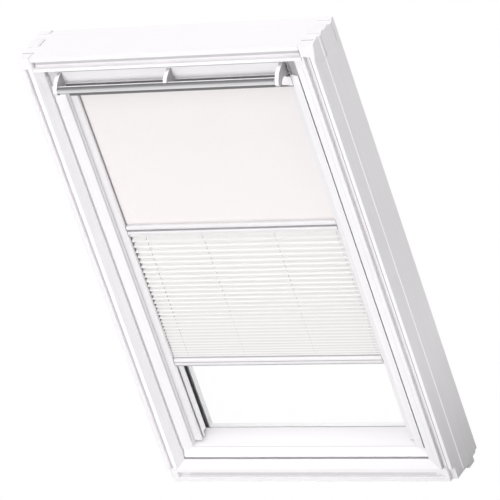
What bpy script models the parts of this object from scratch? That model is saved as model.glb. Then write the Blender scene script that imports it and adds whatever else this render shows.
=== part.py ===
# Centre-pivot roof window with a double blind: a blackout roller above a pleated cloth.
# Metres, +Z up the window, -Y into the room, origin under the bottom member at mid depth.
import math

import bmesh
import bpy
from mathutils import Matrix

# Overall sizes
window_width = 0.780
window_height = 1.178
frame_depth = 0.125
contact_gap = 0.0003
beyond = 0.030

# Frame section, from the outer edge inwards
lip_width = 0.010
groove_width = 0.019
groove_depth = 0.013
foot_groove_width = 0.016
side_land_width = 0.0115
head_land_width = 0.008
foot_land_width = 0.009
side_splay_width = 0.0165
foot_splay_width = 0.025
land_drop = 0.0025
crease_drop = 0.0035
splay_drop = 0.0055
splay_edge = 0.001
sash_relief = 0.003
side_ridge = 0.001
ridge_depth = 0.046

# Corner joints of the frame
finger_length = 0.034
finger_ends = (0.026, 0.055, 0.084, 0.112)
finger_proud = 0.002
flap_rebate = 0.020
notch_depth = 0.0117
notch_height = 0.033
notch_width = 0.015
horn_start = 0.070
horn_length = 0.028
horn_drop = 0.010
rear_step = 0.017
rear_lift = 0.004
back_lift = 0.009

# Sash section, from its room face backwards
sash_side_gap = 0.005
sash_foot_gap = 0.0078
sash_head_gap = 0.0055
sash_front = 0.008
sash_depth = 0.103
stile_width = 0.024
stile_fall = 0.0077
stile_step_depth = 0.050
stile_step = 0.014
glazing_rebate = 0.072
rebate_height = 0.018
rail_height = 0.023
rail_wing = 0.003
rail_wing_depth = 0.030
sill_rise = 0.0169
sill_groove = 0.0015
head_front = 0.020
head_thickness = 0.0145
head_web = 0.004
head_web_drop = 0.0455
head_rebate = 0.0355
stile_shoulder = 0.0185

# Glazing
gasket_thickness = 0.0075
gasket_overlap = 0.002
pane_thickness = 0.004
cavity = 0.016
pane_clearance = 0.002
spacer_width = 0.014
spacer_show = 0.001
seal_projection = 0.0017
seal_width = 0.004
seal_depth = 0.086

# Centre pivot
axis_depth = 0.060
pivot_plate_height = 0.098
pivot_plate_width = 0.040
pivot_plate_thickness = 0.0022
pin_radius = 0.0058
pin_clearance = 0.0002
pin_reach = 0.008
pin_hub_radius = 0.012
pin_hub_thickness = 0.0047
pin_bore_clearance = 0.0015

# Opening flap and control bar
flap_axis_depth = 0.016
flap_axis_rise = 0.001
flap_end_gap = 0.0147
flap_thickness = 0.0022
flap_head_gap = 0.003
flap_foot_gap = 0.0025
flap_depth = 0.0085
flap_bow = 0.0035
flap_lip = 0.005
flap_lip_drop = 0.0015
bracket_width = 0.010
bracket_end_gap = 0.0043
bracket_lug_radius = 0.0036
bracket_arm_start = 0.015
bracket_head_drop = 0.004
bracket_brow_reach = 0.013
bracket_brow_fall = 0.005
bracket_elbow_reach = 0.006
bracket_elbow_rise = 0.020
bracket_nose_round = 0.003
bracket_under = 0.0015
bar_distance = 0.040
bar_depth = 0.018
bar_height = 0.013
bar_wall = 0.0016
bar_drop = 0.0005
flap_pin_radius = 0.0024
flap_pin_clearance = 0.0002
cheek_thickness = 0.003
cheek_plate = 0.0015
cheek_width = 0.027
cheek_height = 0.042
filter_thickness = 0.0035
filter_height = 0.008
filter_end_gap = 0.006

# Lock
bolt_width = 0.012
bolt_depth = 0.008
bolt_place = 0.030
bolt_engagement = 0.0055
bolt_length = 0.0235
bolt_clearance = 0.0003
case_width = 0.060
case_depth = 0.018
strike_width = 0.050
strike_thickness = 0.002
strike_length = 0.022
strike_recess = 0.010
strike_clearance = 0.002

# Blind
channel_start = 0.030
channel_depth = 0.0197
channel_width = 0.020
channel_wall = 0.002
channel_slot = 0.0074
casing_start = 0.024
casing_depth = 0.043
casing_height = 0.030
casing_wall = 0.0015
casing_mouth = 0.012
casing_end = 0.004
casing_hang = 0.009
clip_length = 0.030
clip_depth = 0.030
clip_inset = 0.095
roller_radius = 0.012
roller_wall = 0.0015
roller_end_gap = 0.002
journal_length = 0.010
journal_clearance = 0.0003
cloth_inset = 0.014
cloth_thickness = 0.0006
bar_end_gap = 0.002
guide_depth = 0.006
guide_clearance = 0.0015
blackout_drop = 0.363
blackout_rail_height = 0.0095
blackout_rail_depth = 0.018
rail_wall = 0.0015
blind_gap = 0.0045
pleat_rail_height = 0.007
pleat_rail_depth = 0.020
pleated_height = 0.3485
pleat_foot_height = 0.020
pleat_foot_depth = 0.020
pleat_count = 32
pleat_depth = 0.0144
pleat_droop = 2.4
pleat_thickness = 0.0004
pleat_side_gap = 0.001

# Outside covers
frame_cover_inset = 0.014
frame_cover_width = 0.030
frame_cover_thickness = 0.010
sash_cover_inset = 0.008
sash_cover_width = 0.036
sash_cover_thickness = 0.006
glazing_leg = 0.004

# Places that follow from the sizes
half_width = window_width / 2
side_width = lip_width + groove_width + side_land_width + side_splay_width
foot_width = lip_width + foot_groove_width + foot_land_width + foot_splay_width
member_inner = half_width - side_width
opening_half = member_inner + sash_relief
relief_height = foot_width - sash_relief
head_underside = window_height - relief_height
head_lip_low = window_height - lip_width - groove_width - head_land_width
axis_height = window_height / 2
sash_half = member_inner - sash_side_gap
sash_low = relief_height + sash_foot_gap
sash_high = head_underside - sash_head_gap
sash_back = sash_front + sash_depth
stile_inner = sash_half - stile_width
stile_face = sash_front + stile_fall
step_inner = stile_inner - stile_step
sill_front = sash_low + rail_height
sill_back = sill_front + sill_rise
rebate_low = sash_low + rebate_height
rebate_high = sash_high - head_rebate
head_low = sash_high - head_thickness
web_low = sash_high - head_web_drop
shoulder_height = sash_high - stile_shoulder
flap_axis_height = head_low + flap_axis_rise
flap_half = stile_inner - flap_end_gap
bracket_outer = stile_inner - bracket_end_gap
bracket_inner = bracket_outer - bracket_width
casing_high = head_low - casing_hang
casing_low = casing_high - casing_height
slot_centre = channel_start + channel_depth / 2
roller_depth = slot_centre + roller_radius + contact_gap + cloth_thickness / 2
roller_height = casing_high - casing_height / 2
cloth_half = stile_inner - contact_gap - cloth_inset
blackout_high = casing_low - blackout_drop
blackout_low = blackout_high - blackout_rail_height
pleat_rail_high = blackout_low - blind_gap
pleat_rail_low = pleat_rail_high - pleat_rail_height
pleat_foot_high = pleat_rail_low - pleated_height
pleat_foot_low = pleat_foot_high - pleat_foot_height
channel_low = sill_front + sill_rise * (
    (channel_start + channel_depth - stile_face) / (glazing_rebate - stile_face)
) + contact_gap


def deep(distance):
    """The Y of a point this far behind the room face."""
    return distance - frame_depth / 2


def new_collection(name):
    collection = bpy.data.collections.new(name)
    bpy.context.scene.collection.children.link(collection)
    return collection


for old in list(bpy.data.objects):
    bpy.data.objects.remove(old, do_unlink=True)
for old in list(bpy.data.collections):
    bpy.data.collections.remove(old)
parts = new_collection("roof_window_blind")
cutters = new_collection("cutters")

finishes = {
    "white paint": ((0.90, 0.90, 0.89), 0.35, 0.0),
    "white metal": ((0.88, 0.88, 0.88), 0.35, 0.0),
    "grey metal": ((0.32, 0.33, 0.34), 0.45, 0.6),
    "satin aluminium": ((0.72, 0.73, 0.75), 0.30, 1.0),
    "zinc": ((0.66, 0.67, 0.68), 0.35, 1.0),
    "black rubber": ((0.03, 0.03, 0.03), 0.70, 0.0),
    "glass": ((0.85, 0.90, 0.88), 0.02, 0.0),
    "white plastic": ((0.86, 0.86, 0.85), 0.40, 0.0),
    "grey foam": ((0.45, 0.46, 0.47), 0.90, 0.0),
    "blackout cloth": ((0.88, 0.86, 0.84), 0.85, 0.0),
    "pleated cloth": ((0.92, 0.91, 0.89), 0.80, 0.0),
}
sides = {"left": -1, "right": 1}


def move_to(item, collection):
    for group in list(item.users_collection):
        group.objects.unlink(item)
    collection.objects.link(item)


def keep(item, name, finish):
    """Makes an object a named part with a material of its own."""
    move_to(item, parts)
    item.name = name
    item.data.name = name
    colour, roughness, metallic = finishes[finish]
    material = bpy.data.materials.new(name)
    material.use_nodes = True
    shader = material.node_tree.nodes["Principled BSDF"]
    shader.inputs["Base Color"].default_value = (*colour, 1)
    shader.inputs["Roughness"].default_value = roughness
    shader.inputs["Metallic"].default_value = metallic
    item.data.materials.clear()
    item.data.materials.append(material)
    return item


def closed_mesh(item):
    """Turns a curve object into a mesh object with welded caps."""
    graph = bpy.context.evaluated_depsgraph_get()
    mesh = bpy.data.meshes.new_from_object(item.evaluated_get(graph))
    shape = bmesh.new()
    shape.from_mesh(mesh)
    bmesh.ops.remove_doubles(shape, verts=shape.verts, dist=1e-6)
    bmesh.ops.recalc_face_normals(shape, faces=shape.faces)
    if shape.calc_volume(signed=True) < 0:
        bmesh.ops.reverse_faces(shape, faces=shape.faces)
    shape.to_mesh(mesh)
    shape.free()
    solid = bpy.data.objects.new(item.name, mesh)
    solid.matrix_world = item.matrix_world
    bpy.context.scene.collection.objects.link(solid)
    bpy.data.objects.remove(item, do_unlink=True)
    return solid


turns = {
    "x": Matrix(((0, 0, 1, 0), (1, 0, 0, 0), (0, 1, 0, 0), (0, 0, 0, 1))),
    "y": Matrix(((1, 0, 0, 0), (0, 0, -1, 0), (0, 1, 0, 0), (0, 0, 0, 1))),
    "z": Matrix.Identity(4),
}


def prism(outlines, start, end, axis):
    """Flat outlines drawn out along X (their points are y, z), Y (x, z) or Z (x, y)."""
    curve = bpy.data.curves.new("prism", "CURVE")
    curve.dimensions = "2D"
    curve.fill_mode = "BOTH"
    curve.extrude = (end - start) / 2
    for outline in outlines:
        spline = curve.splines.new("POLY")
        spline.points.add(len(outline) - 1)
        for point, (u, v) in zip(spline.points, outline):
            point.co = (u, v, 0, 1)
        spline.use_cyclic_u = True
    item = bpy.data.objects.new("prism", curve)
    bpy.context.scene.collection.objects.link(item)
    middle = (start + end) / 2
    place = {"x": (middle, 0, 0), "y": (0, middle, 0), "z": (0, 0, middle)}[axis]
    item.matrix_world = Matrix.Translation(place) @ turns[axis]
    bpy.context.view_layer.update()
    return closed_mesh(item)


def box(x_ends, d_ends, z_ends):
    """A box between limits in X, in depth behind the room face and in height."""
    shape = bmesh.new()
    bmesh.ops.create_cube(shape, size=1)
    spans = (x_ends, d_ends, z_ends)
    bmesh.ops.scale(shape, vec=[high - low for low, high in spans], verts=shape.verts)
    mesh = bpy.data.meshes.new("box")
    shape.to_mesh(mesh)
    shape.free()
    item = bpy.data.objects.new("box", mesh)
    x, d, z = ((low + high) / 2 for low, high in spans)
    item.location = (x, deep(d), z)
    bpy.context.scene.collection.objects.link(item)
    bpy.context.view_layer.update()
    return item


def rod(radius, start, end, depth, height, steps=24):
    """A cylinder along X."""
    shape = bmesh.new()
    bmesh.ops.create_cone(
        shape, cap_ends=True, segments=steps, radius1=radius, radius2=radius, depth=end - start
    )
    mesh = bpy.data.meshes.new("rod")
    shape.to_mesh(mesh)
    shape.free()
    mesh.shade_smooth()
    mesh.set_sharp_from_angle(angle=math.radians(40))
    item = bpy.data.objects.new("rod", mesh)
    place = Matrix.Translation(((start + end) / 2, deep(depth), height))
    item.matrix_world = place @ Matrix.Rotation(math.pi / 2, 4, "Y")
    bpy.context.scene.collection.objects.link(item)
    bpy.context.view_layer.update()
    return item


def hold(item, parent):
    """Parents an object where it stands."""
    item.parent = parent
    item.matrix_parent_inverse = parent.matrix_world.inverted()


def on_axis(name, depth, height, children, parent=None):
    """An empty on a joint's axis that carries the pieces moving with it."""
    holder = bpy.data.objects.new(name, None)
    holder.location = (0, deep(depth), height)
    parts.objects.link(holder)
    bpy.context.view_layer.update()
    for child in children:
        hold(bpy.data.objects[child], holder)
    if parent:
        hold(holder, parent)
    return holder


def both(*names):
    """The left and right piece of each name."""
    return [f"{name}_{side}" for name in names for side in sides]


def combine(item, operation, others):
    """Boolean changes; each other object becomes a hidden cutter."""
    for other in others:
        change = item.modifiers.new(operation.lower(), "BOOLEAN")
        change.operation = operation
        change.solver = "EXACT"
        change.object = other
        move_to(other, cutters)
        hold(other, item)
        other.hide_render = True
        other.display_type = "WIRE"
    return item


def cut(item, *others):
    return combine(item, "DIFFERENCE", others)


def join(item, *others):
    return combine(item, "UNION", others)


def on_side(side, low, high):
    """X limits that are given on the right, for the named side."""
    return tuple(sorted((sides[side] * low, sides[side] * high)))


def side_prism(side, outlines, low, high):
    """Profiles in depth and height, drawn out along X on the named side."""
    start, end = on_side(side, low, high)
    return prism([[(deep(d), z) for d, z in line] for line in outlines], start, end, "x")


def upright(side, outline, low, high):
    """A plan outline in X and depth, on the named side, drawn out upwards."""
    return prism([[(sides[side] * x, deep(d)) for x, d in outline]], low, high, "z")


def across(outlines, reach):
    """Profiles in depth and height, drawn out along X on both sides of the middle."""
    return prism([[(deep(d), z) for d, z in line] for line in outlines], -reach, reach, "x")


def ring(half_x, low, high, width):
    """A rectangular ring seen from the room."""
    outer = [(-half_x, low), (half_x, low), (half_x, high), (-half_x, high)]
    inner = [
        (-half_x + width, low + width),
        (-half_x + width, high - width),
        (half_x - width, high - width),
        (half_x - width, low + width),
    ]
    return [outer, inner]


def circle(depth, height, radius_d, radius_z, steps):
    turn = [2 * math.pi * n / steps for n in range(steps)]
    return [(depth + radius_d * math.cos(a), height + radius_z * math.sin(a)) for a in turn]


# Frame

finger_inner = half_width - finger_length
above = window_height + beyond
outside = half_width + beyond
inside = member_inner - beyond
behind = frame_depth + beyond


def frame_side(side):
    """Side member with its lining groove, splay, fingers at the head and horned foot."""
    land_end = member_inner + side_splay_width
    section = [
        (half_width - side_ridge, 0),
        (half_width - lip_width, 0),
        (land_end + side_land_width, land_drop),
        (land_end, crease_drop),
        (member_inner, splay_drop),
        (member_inner, splay_drop + splay_edge),
        (opening_half, splay_drop + splay_edge),
        (opening_half, frame_depth),
        (half_width, frame_depth),
        (half_width, ridge_depth),
        (half_width - side_ridge, ridge_depth),
    ]
    item = upright(side, section, -horn_drop, window_height + finger_proud)
    horn_end = horn_start + horn_length
    foot = [
        (-beyond, -beyond),
        (-beyond, 0),
        (horn_start, 0),
        (horn_start, -horn_drop),
        (horn_end, -horn_drop),
        (horn_end, rear_lift),
        (horn_end + rear_step, rear_lift),
        (horn_end + rear_step, back_lift),
        (behind, back_lift),
        (behind, -beyond),
    ]
    cut(item, side_prism(side, [foot], inside, outside))
    sign = sides[side]
    mitre = [
        (inside, foot_width + contact_gap),
        (member_inner, foot_width + contact_gap),
        (member_inner + foot_width - notch_height, notch_height + contact_gap),
        (outside, notch_height + contact_gap),
        (outside, -beyond),
        (inside, -beyond),
    ]
    mitre = [(sign * x, z) for x, z in mitre]
    cut(item, prism([mitre], deep(-beyond), deep(notch_depth), "y"))
    first, second, third, fourth = finger_ends
    lap = (second - first) / 2
    comb = [
        (inside, first), (outside, first), (outside, second), (finger_inner, second),
        (finger_inner, third), (outside, third), (outside, fourth), (finger_inner, fourth),
        (finger_inner, behind), (inside, behind),
    ]
    front = (-beyond, first + lap)
    cut(
        item,
        upright(side, comb, head_underside - contact_gap, above),
        box(on_side(side, inside, finger_inner), front, (head_lip_low - contact_gap, above)),
        box(on_side(side, inside, outside), front, (window_height, above)),
    )
    groove = on_side(side, half_width - lip_width - groove_width, half_width - lip_width)
    groove_top = window_height - lip_width - groove_width
    bore_radius = pin_radius + pin_bore_clearance
    cut(
        item,
        box(groove, (-beyond, groove_depth), (notch_height - contact_gap, groove_top)),
        rod(bore_radius, *on_side(side, inside, opening_half + pin_reach), axis_depth, axis_height),
    )
    return keep(item, f"frame_{side}", "white paint")


def frame_head():
    """Top member with its groove, the rebate for the flap and the recess for the strike."""
    groove_high = window_height - lip_width
    groove_low = groove_high - groove_width
    section = [
        (0, window_height),
        (0, groove_high),
        (groove_depth, groove_high),
        (groove_depth, groove_low),
        (0, groove_low),
        (0, head_lip_low),
        (flap_rebate, head_lip_low),
        (flap_rebate, head_underside),
        (frame_depth, head_underside),
        (frame_depth, window_height),
    ]
    item = across([section], half_width - finger_proud)
    first, second, third, fourth = finger_ends
    tall = (head_underside - beyond, above)
    for side in sides:
        fingers = on_side(side, finger_inner - contact_gap, outside)
        housing = on_side(side, opening_half - contact_gap, outside)
        cut(
            item,
            box(fingers, (-beyond, first + contact_gap), tall),
            box(fingers, (second - contact_gap, third + contact_gap), tall),
            box(fingers, (fourth - contact_gap, behind), tall),
            box(housing, (-beyond, first + contact_gap), (head_underside - beyond, head_lip_low)),
        )
    plate = strike_width / 2 + contact_gap
    slot = bolt_width / 2 + strike_clearance
    slot_back = bolt_place + bolt_depth / 2 + strike_clearance
    low = head_underside - beyond
    cut(
        item,
        box((-plate, plate), (0, flap_rebate + strike_length + contact_gap),
            (low, head_underside + strike_thickness + contact_gap)),
        box((-slot, slot), (0, slot_back), (low, head_underside + strike_recess)),
    )
    return keep(item, "frame_top", "white paint")


def frame_foot():
    """Bottom member, mitred to the side members in its front layer."""
    section = [
        (0, 0),
        (0, lip_width + foot_groove_width + foot_land_width),
        (splay_drop, foot_width),
        (splay_drop + splay_edge, foot_width),
        (splay_drop + splay_edge, relief_height),
        (frame_depth, relief_height),
        (frame_depth, 0),
    ]
    item = across([section], half_width - notch_width)
    tall = foot_width + beyond
    for side in sides:
        sign = sides[side]
        mitre = [
            (member_inner, foot_width),
            (member_inner + foot_width - notch_height, notch_height),
            (outside, notch_height),
            (outside, tall),
            (member_inner, tall),
        ]
        mitre = [(sign * x, z) for x, z in mitre]
        cut(
            item,
            prism([mitre], deep(-beyond), deep(notch_depth), "y"),
            box(on_side(side, opening_half - contact_gap, outside),
                (notch_depth - contact_gap, behind), (-beyond, tall)),
        )
    reach = half_width - notch_width - groove_depth
    cut(item, box((-reach, reach), (-beyond, groove_depth), (lip_width, lip_width + foot_groove_width)))
    return keep(item, "frame_bottom", "white paint")


def frame_pivot(side):
    """Steel bearing plate on the frame, bored for the sash's pin."""
    outer = opening_half - contact_gap
    ends = on_side(side, outer - pivot_plate_thickness, outer)
    half = pivot_plate_width / 2
    tall = pivot_plate_height / 2
    item = box(ends, (axis_depth - half, axis_depth + half), (axis_height - tall, axis_height + tall))
    hole = on_side(side, outer - beyond, outer + beyond)
    cut(item, rod(pin_radius + pin_clearance, *hole, axis_depth, axis_height))
    return keep(item, f"pivot_plate_{side}", "zinc")


def strike():
    """Steel strike in the frame's head, open towards the room so that the bolt can leave."""
    half = strike_width / 2
    slot = bolt_width / 2 + strike_clearance
    back = flap_rebate + strike_length
    slot_back = bolt_place + bolt_depth / 2 + strike_clearance
    plan = [
        (-half, flap_rebate), (-slot, flap_rebate), (-slot, slot_back), (slot, slot_back),
        (slot, flap_rebate), (half, flap_rebate), (half, back), (-half, back),
    ]
    low = head_underside
    item = prism([[(x, deep(d)) for x, d in plan]], low, low + strike_thickness, "z")
    return keep(item, "strike_plate", "zinc")


def frame_covers():
    """Grey aluminium covers on the frame's weather face."""
    depth = (frame_depth + contact_gap, frame_depth + contact_gap + frame_cover_thickness)
    outer = half_width - frame_cover_inset
    inner = outer - frame_cover_width
    low = frame_cover_inset
    high = window_height - frame_cover_inset
    for side in sides:
        item = box(on_side(side, inner, outer), depth, (low, high))
        keep(item, f"frame_cover_{side}", "grey metal")
    reach = inner - contact_gap
    head = box((-reach, reach), depth, (high - frame_cover_width, high))
    keep(head, "frame_cover_top", "grey metal")
    foot = box((-reach, reach), depth, (low, low + frame_cover_width))
    keep(foot, "frame_cover_bottom", "grey metal")


# Sash

lock_half = case_width / 2 + contact_gap
rail_half = stile_inner - contact_gap


def stile(side):
    """Sash side member: sloping room face and a step that the glass rests behind."""
    section = [
        (sash_half, sash_front),
        (stile_inner, stile_face),
        (stile_inner, sash_back),
        (sash_half, sash_back),
    ]
    item = upright(side, section, sill_front + contact_gap, sash_high)
    step = [
        (step_inner, stile_step_depth),
        (step_inner, glazing_rebate),
        (stile_inner + stile_step, glazing_rebate),
        (stile_inner + stile_step, stile_step_depth),
    ]
    join(item, upright(side, step, sill_back + contact_gap, casing_low - contact_gap))
    shoulder = on_side(side, stile_inner - beyond, sash_half + beyond)
    cut(item, box(shoulder, (-beyond, head_front), (shoulder_height, above)))
    return keep(item, f"sash_{side}", "white paint")


def sash_foot():
    """Bottom rail under the stiles: sloping face, a fine groove and the sill up to the glass."""
    start = stile_face + sill_groove
    section = [
        (sash_front, sash_low),
        (stile_face, sill_front),
        (start, sill_front),
        (start, sill_front - sill_groove),
        (start + sill_groove, sill_front - sill_groove),
        (start + sill_groove, sill_front),
        (glazing_rebate, sill_back),
        (glazing_rebate, rebate_low),
        (sash_back, rebate_low),
        (sash_back, sash_low),
    ]
    item = across([section], rail_half)
    front = [(sash_front, sash_low), (stile_face, sill_front)]
    end = front + [(sash_back, sill_front), (sash_back, sash_low)]
    wing = front + [(rail_wing_depth, sill_front), (rail_wing_depth, sash_low)]
    start = pane_half + contact_gap
    for side in sides:
        join(item, side_prism(side, [end], start, sash_half),
             side_prism(side, [wing], start, sash_half + rail_wing))
    return keep(item, "sash_bottom", "white paint")


def sash_head():
    """Top rail: a thin front part over the blind and a deep rear part over the glass."""
    section = [
        (head_front, head_low),
        (glazing_rebate - head_web, head_low),
        (glazing_rebate - head_web, web_low),
        (glazing_rebate, web_low),
        (glazing_rebate, rebate_high),
        (sash_back, rebate_high),
        (sash_back, sash_high),
        (head_front, sash_high),
    ]
    item = across([section], rail_half)
    case_back = head_front + case_depth + contact_gap
    cut(item, box((-lock_half, lock_half), (-beyond, case_back), (web_low, above)))
    return keep(item, "sash_top", "white paint")


gasket_start = glazing_rebate + contact_gap
inner_pane = gasket_start + gasket_thickness + contact_gap
spacer_start = inner_pane + pane_thickness + contact_gap
outer_pane = spacer_start + cavity + contact_gap
glass_back = outer_pane + pane_thickness
pane_half = stile_inner - pane_clearance
pane_low = rebate_low + pane_clearance
pane_high = rebate_high - pane_clearance


def glazing():
    """Two panes with an edge spacer, on a black gasket."""
    edge = pane_half - step_inner + gasket_overlap
    gasket = prism(ring(pane_half, pane_low, pane_high, edge),
                   deep(gasket_start), deep(gasket_start + gasket_thickness), "y")
    keep(gasket, "glazing_gasket", "black rubber")
    inset = edge + spacer_show - spacer_width
    spacer = prism(ring(pane_half - inset, pane_low + inset, pane_high - inset, spacer_width),
                   deep(spacer_start), deep(spacer_start + cavity), "y")
    keep(spacer, "glass_spacer", "satin aluminium")
    for name, start in (("glass_inner", inner_pane), ("glass_outer", outer_pane)):
        pane = box((-pane_half, pane_half), (start, start + pane_thickness), (pane_low, pane_high))
        keep(pane, name, "glass")


def weather_seal():
    """Rubber seal round the edge of the sash."""
    width = seal_projection - contact_gap
    outline = ring(sash_half + seal_projection, sash_low - seal_projection,
                   sash_high + seal_projection, width)
    item = prism(outline, deep(seal_depth), deep(seal_depth + seal_width), "y")
    keep(item, "weather_seal", "black rubber")


def sash_pin(side):
    """Turned pivot pin: a hub on the stile's edge and a shaft in the frame's plate."""
    start = sash_half + contact_gap
    hub_end = start + pin_hub_thickness
    tip = opening_half + pin_reach - pin_bore_clearance
    hub = rod(pin_hub_radius, *on_side(side, start, hub_end), axis_depth, axis_height)
    shaft = rod(pin_radius, *on_side(side, hub_end - pin_hub_thickness / 2, tip),
                axis_depth, axis_height)
    return keep(join(hub, shaft), f"sash_pin_{side}", "zinc")


def sash_covers():
    """Grey aluminium covers that hold the glass from outside."""
    start = sash_back + contact_gap
    leg_start = glass_back + contact_gap
    end = start + sash_cover_thickness
    outer = sash_half - sash_cover_inset
    inner = outer - sash_cover_width
    low = sash_low + sash_cover_inset
    high = sash_high - sash_cover_inset
    bite = pane_half - inner
    foot_end = pane_low + bite
    head_end = pane_high - bite
    plan = [
        (inner, leg_start), (inner + glazing_leg, leg_start), (inner + glazing_leg, start),
        (outer, start), (outer, end), (inner, end),
    ]
    for side in sides:
        item = upright(side, plan, low, high)
        legs = on_side(side, inner - beyond, inner + glazing_leg + contact_gap)
        front = (leg_start - beyond, start)
        cut(
            item,
            box(legs, front, (low - beyond, foot_end - glazing_leg)),
            box(legs, front, (head_end + glazing_leg, above)),
        )
        keep(item, f"sash_cover_{side}", "grey metal")
    reach = inner - contact_gap
    head = [
        (start, high), (start, head_end + glazing_leg), (leg_start, head_end + glazing_leg),
        (leg_start, head_end), (end, head_end), (end, high),
    ]
    keep(across([head], reach), "sash_cover_top", "grey metal")
    foot = [
        (start, low), (end, low), (end, foot_end), (leg_start, foot_end),
        (leg_start, foot_end - glazing_leg), (start, foot_end - glazing_leg),
    ]
    keep(across([foot], reach), "sash_cover_bottom", "grey metal")


def lock():
    """Lock case in the sash head, with the square bolt that slides down out of the strike."""
    back = head_front + case_depth
    half = case_width / 2
    case = box((-half, half), (head_front, back), (head_low, sash_high))
    hole = bolt_width / 2 + bolt_clearance
    half_depth = bolt_depth / 2 + bolt_clearance
    cut(case, box((-hole, hole), (bolt_place - half_depth, bolt_place + half_depth),
                  (head_low - beyond, above)))
    keep(case, "lock_case", "zinc")
    top = head_underside + bolt_engagement
    bolt = box((-bolt_width / 2, bolt_width / 2),
               (bolt_place - bolt_depth / 2, bolt_place + bolt_depth / 2), (top - bolt_length, top))
    keep(bolt, "latch_bolt", "zinc")


# Flap with its control bar

flap_low = flap_axis_height + flap_foot_gap
flap_high = head_lip_low - flap_head_gap
bar_centre = flap_axis_depth - bar_distance
bar_level = flap_axis_height - bar_drop


def flap_front_line(offset, steps=6):
    """The bowed front of the flap, foot to top, moved back by an offset."""
    line = []
    for n in range(steps + 1):
        share = n / steps
        bow = flap_bow * (2 * share - 1) ** 2
        line.append((flap_depth + bow + offset, flap_low + (flap_high - flap_low) * share))
    return line


def flap_panel():
    """Bowed white flap with a small lip along its foot."""
    front = flap_front_line(0)
    back = flap_front_line(flap_thickness)
    foot = flap_depth + flap_bow
    lip = [
        (foot + flap_thickness, flap_low - flap_lip_drop),
        (foot - flap_lip, flap_low - flap_lip_drop),
        (foot - flap_lip, flap_low),
    ]
    item = across([front + back[::-1] + lip], flap_half)
    keep(item, "flap_panel", "white metal")


def bracket_outline():
    """Side view of a bracket, from the flap's top round the bar to the hinge lug."""
    bar_front = bar_centre - bar_depth / 2
    bar_top = bar_level + bar_height / 2
    bar_foot = bar_level - bar_height / 2
    brow = flap_high - bracket_head_drop
    line = [
        (flap_axis_depth, brow),
        (flap_depth - bracket_brow_reach, brow - bracket_brow_fall),
        (bar_centre + bracket_elbow_reach, flap_axis_height + bracket_elbow_rise),
        (bar_front + bracket_nose_round, bar_top),
        (bar_front, bar_level),
        (bar_front + bracket_nose_round, bar_foot),
        (bar_centre, bar_foot - bracket_under),
        (flap_axis_depth - bracket_arm_start, head_low),
    ]
    for degrees in range(-75, 16, 15):
        angle = math.radians(degrees)
        line.append((
            flap_axis_depth + bracket_lug_radius * math.cos(angle),
            flap_axis_height + bracket_lug_radius * math.sin(angle),
        ))
    return line


def flap_brackets():
    """Three brackets carry the bar; the outer two turn on the sash's pins."""
    outline = bracket_outline()
    hole = flap_pin_radius + flap_pin_clearance
    for side in sides:
        item = side_prism(side, [outline], bracket_inner, bracket_outer)
        reach = on_side(side, bracket_inner - beyond, bracket_outer + beyond)
        cut(item, rod(hole, *reach, flap_axis_depth, flap_axis_height))
        keep(item, f"bracket_{side}", "white metal")
    half = bracket_width / 2
    item = prism([[(deep(d), z) for d, z in outline]], -half, half, "x")
    back = flap_front_line(-contact_gap)
    foot = flap_depth + flap_bow - flap_lip - contact_gap
    back = (
        [(behind, head_low - beyond), (foot, head_low - beyond), (foot, flap_low + contact_gap)]
        + back[1:]
        + [(back[-1][0], above), (behind, above)]
    )
    bar_space = circle(bar_centre, bar_level, bar_depth / 2 + contact_gap,
                       bar_height / 2 + contact_gap, 24)
    cut(item, across([back], bracket_width), across([bar_space], bracket_width))
    cut(item, box((-bracket_width, bracket_width), (bar_centre - bar_depth, bar_centre + bar_depth),
                  (bar_level - beyond, bar_level)))
    keep(item, "bracket_middle", "white metal")


def control_bar():
    """Hollow satin bar between the outer brackets."""
    outer = circle(bar_centre, bar_level, bar_depth / 2, bar_height / 2, 24)
    inner = circle(bar_centre, bar_level, bar_depth / 2 - bar_wall, bar_height / 2 - bar_wall, 24)
    keep(across([outer, inner], bracket_inner - contact_gap), "control_bar", "satin aluminium")


def cheek(side):
    """Grey angle on the stile's shoulder with the pin that the flap turns on."""
    low = shoulder_height + contact_gap
    start = stile_inner + contact_gap
    end = start + cheek_thickness
    face = head_front - contact_gap
    plan = [
        (start, stile_face), (end, stile_face), (end, face - cheek_plate),
        (start + cheek_width, face - cheek_plate), (start + cheek_width, face), (start, face),
    ]
    item = upright(side, plan, low, low + cheek_height)
    reach = on_side(side, bracket_inner - contact_gap, end)
    join(item, rod(flap_pin_radius, *reach, flap_axis_depth, flap_axis_height, 16))
    return keep(item, f"cheek_{side}", "grey metal")


def air_filter(side):
    """Foam filter strip behind the flap."""
    ends = on_side(side, lock_half + filter_end_gap, flap_half - filter_end_gap)
    depth = (head_front - contact_gap - filter_thickness, head_front - contact_gap)
    middle = (head_low + sash_high) / 2
    item = box(ends, depth, (middle - filter_height / 2, middle + filter_height / 2))
    return keep(item, f"air_filter_{side}", "grey foam")


# Blind

channel_outer = stile_inner - contact_gap
channel_inner = channel_outer - channel_width
channel_end = channel_start + channel_depth


def channel(side):
    """White side channel with a slot that the blind's edges run in."""
    lip = channel_inner + channel_wall
    slot_start = slot_centre - channel_slot / 2
    slot_end = slot_centre + channel_slot / 2
    section = [
        (channel_outer, channel_start),
        (channel_inner, channel_start),
        (channel_inner, slot_start),
        (lip, slot_start),
        (lip, channel_start + channel_wall),
        (channel_outer - channel_wall, channel_start + channel_wall),
        (channel_outer - channel_wall, channel_end - channel_wall),
        (lip, channel_end - channel_wall),
        (lip, slot_end),
        (channel_inner, slot_end),
        (channel_inner, channel_end),
        (channel_outer, channel_end),
    ]
    item = upright(side, section, channel_low, casing_low - contact_gap)
    return keep(item, f"channel_{side}", "white metal")


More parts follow.
